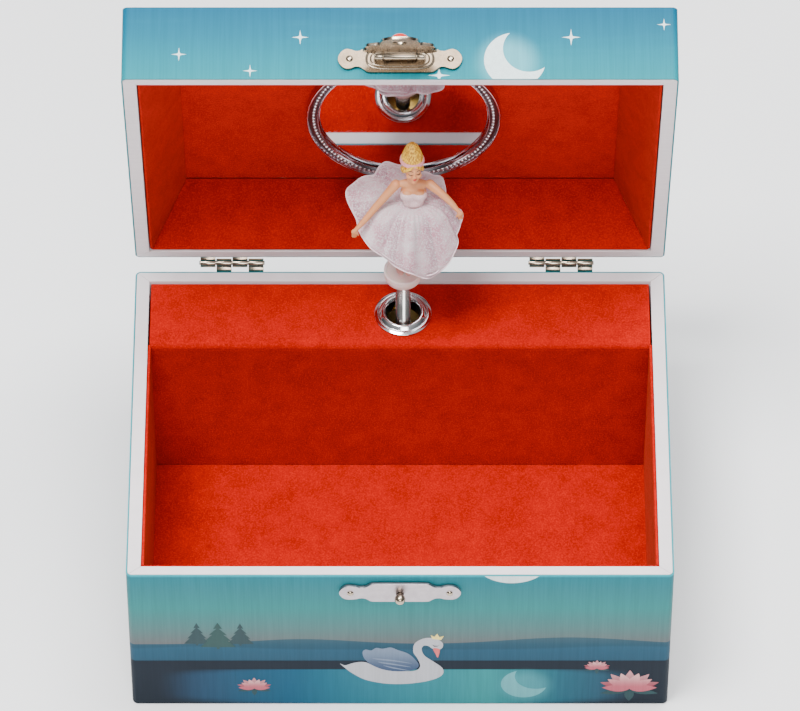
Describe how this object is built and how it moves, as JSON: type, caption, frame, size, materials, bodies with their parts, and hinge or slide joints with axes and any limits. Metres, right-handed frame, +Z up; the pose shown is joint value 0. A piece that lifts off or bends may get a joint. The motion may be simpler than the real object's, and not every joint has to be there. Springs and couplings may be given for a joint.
{
  "type": "wind-up music box",
  "caption": "Wooden musical jewellery box: hinged lid with oval mirror, felt tray, key-wound comb movement and a dancer on a spring post that turns and folds as the lid shuts.",
  "frame": {"origin": "centre of the underside of the base", "axes": "+X to the right seen from the front, +Y to the back, +Z up"},
  "size_m": [0.15, 0.1363, 0.1872],
  "materials": {
    "white_edge": "painted white board edge",
    "printed_paper": "satin printed paper",
    "red_felt": "short-nap flocked felt",
    "nickel": "bright nickel plate",
    "bright_chrome": "bright chrome plate",
    "steel": "satin steel",
    "brass": "satin brass",
    "mirror": "silvered glass",
    "silver_trim": "silver metallised plastic with beading",
    "red_jewel": "polished red cabochon",
    "pale_pink": "moulded plastic",
    "doll_paint": "painted moulded plastic",
    "net_skirt": "shiny gathered net"
  },
  "bodies": {
    "base": {"base_front_board": "white_edge", "base_back_board": "white_edge", "base_left_board": "white_edge", "base_right_board": "white_edge", "base_bottom_board": "white_edge", "base_print_wrap": "printed_paper", "tray_floor_pad": "red_felt", "tray_front_lining": "red_felt", "tray_left_lining": "red_felt", "tray_right_lining": "red_felt", "movement_cover_top": "red_felt", "movement_cover_front": "red_felt", "hinge_left_base_leaf": "nickel", "hinge_right_base_leaf": "nickel", "hinge_left_pin": "nickel", "hinge_right_pin": "nickel", "catch_plate": "nickel", "catch_pin": "nickel", "post_grommet": "bright_chrome", "movement_bedplate": "steel", "tone_comb": "steel", "comb_screw_1": "steel", "comb_screw_2": "steel", "spring_housing": "steel", "mainspring": "steel", "cylinder_bearing_left": "brass", "cylinder_bearing_right": "brass", "governor_frame": "brass", "comb_spacer": "brass", "spindle_bracket": "brass"},
    "lid": {"lid_front_board": "white_edge", "lid_back_board": "white_edge", "lid_left_board": "white_edge", "lid_right_board": "white_edge", "lid_top_board": "white_edge", "lid_print_wrap": "printed_paper", "lid_lining_front": "red_felt", "lid_lining_back": "red_felt", "lid_lining_left": "red_felt", "lid_lining_right": "red_felt", "lid_lining_ceiling": "red_felt", "hinge_left_lid_leaf": "nickel", "hinge_right_lid_leaf": "nickel", "mirror_glass": "mirror", "mirror_frame": "silver_trim", "hasp_plate": "nickel", "hasp_pin": "nickel"},
    "hasp": {"hasp_flap": "nickel", "hasp_jewel": "red_jewel"},
    "winding": {"great_wheel": "brass", "winding_arbor": "steel", "winding_key": "nickel"},
    "cylinder": {"pinned_cylinder": "brass"},
    "governor": {"governor_wheel": "brass"},
    "fly": {"governor_fly": "steel"},
    "spindle": {"drive_spindle": "brass"},
    "post": {"flex_spring": "nickel"},
    "figure": {"pedestal": "pale_pink", "ballerina_figure": "doll_paint", "ballerina_skirt": "net_skirt"}
  },
  "joints": [
    {"name": "lid_hinge", "type": "hinge", "parent": "base", "child": "lid", "pos_m": [0, 0.0571, 0.05965], "axis": [1, 0, 0], "range_deg": [0, 76.5]},
    {"name": "post_fold", "type": "hinge", "parent": "base", "child": "post", "pos_m": [0.00085, 0.0392, 0.0686], "axis": [1, 0, 0], "range_deg": [0, 110.1], "deforming": ["flex_spring"]},
    {"name": "figure_turn", "type": "hinge", "parent": "post", "child": "figure", "pos_m": [0.00085, 0.0392, 0.0768], "axis": [0, 0, 1], "continuous": true},
    {"name": "hasp_hinge", "type": "hinge", "parent": "lid", "child": "hasp", "pos_m": [0, 0.03646, 0.17152], "axis": [-1, 0, 0], "range_deg": [-77, 60]},
    {"name": "key_turn", "type": "hinge", "parent": "base", "child": "winding", "pos_m": [0.0479, 0.05, 0.034], "axis": [0, 1, 0], "continuous": true},
    {"name": "cylinder_turn", "type": "hinge", "parent": "base", "child": "cylinder", "pos_m": [0.02, 0.0392, 0.034], "axis": [1, 0, 0], "continuous": true},
    {"name": "spindle_turn", "type": "hinge", "parent": "base", "child": "spindle", "pos_m": [0.00085, 0.0392, 0.0376], "axis": [0, 0, 1], "continuous": true},
    {"name": "governor_turn", "type": "hinge", "parent": "base", "child": "governor", "pos_m": [0.03, 0.0392, 0.02268], "axis": [1, 0, 0], "continuous": true},
    {"name": "fly_turn", "type": "hinge", "parent": "base", "child": "fly", "pos_m": [0.024, 0.0392, 0.01276], "axis": [1, 0, 0], "continuous": true}
  ],
  "couplings": [
    {"joint": "post_fold", "follows": "lid_hinge", "ratio": 1.4379},
    {"joint": "figure_turn", "follows": "key_turn", "ratio": -1.875},
    {"joint": "spindle_turn", "follows": "key_turn", "ratio": -1.875},
    {"joint": "cylinder_turn", "follows": "key_turn", "ratio": 3},
    {"joint": "governor_turn", "follows": "key_turn", "ratio": -9},
    {"joint": "fly_turn", "follows": "key_turn", "ratio": 22.5}
  ]
}
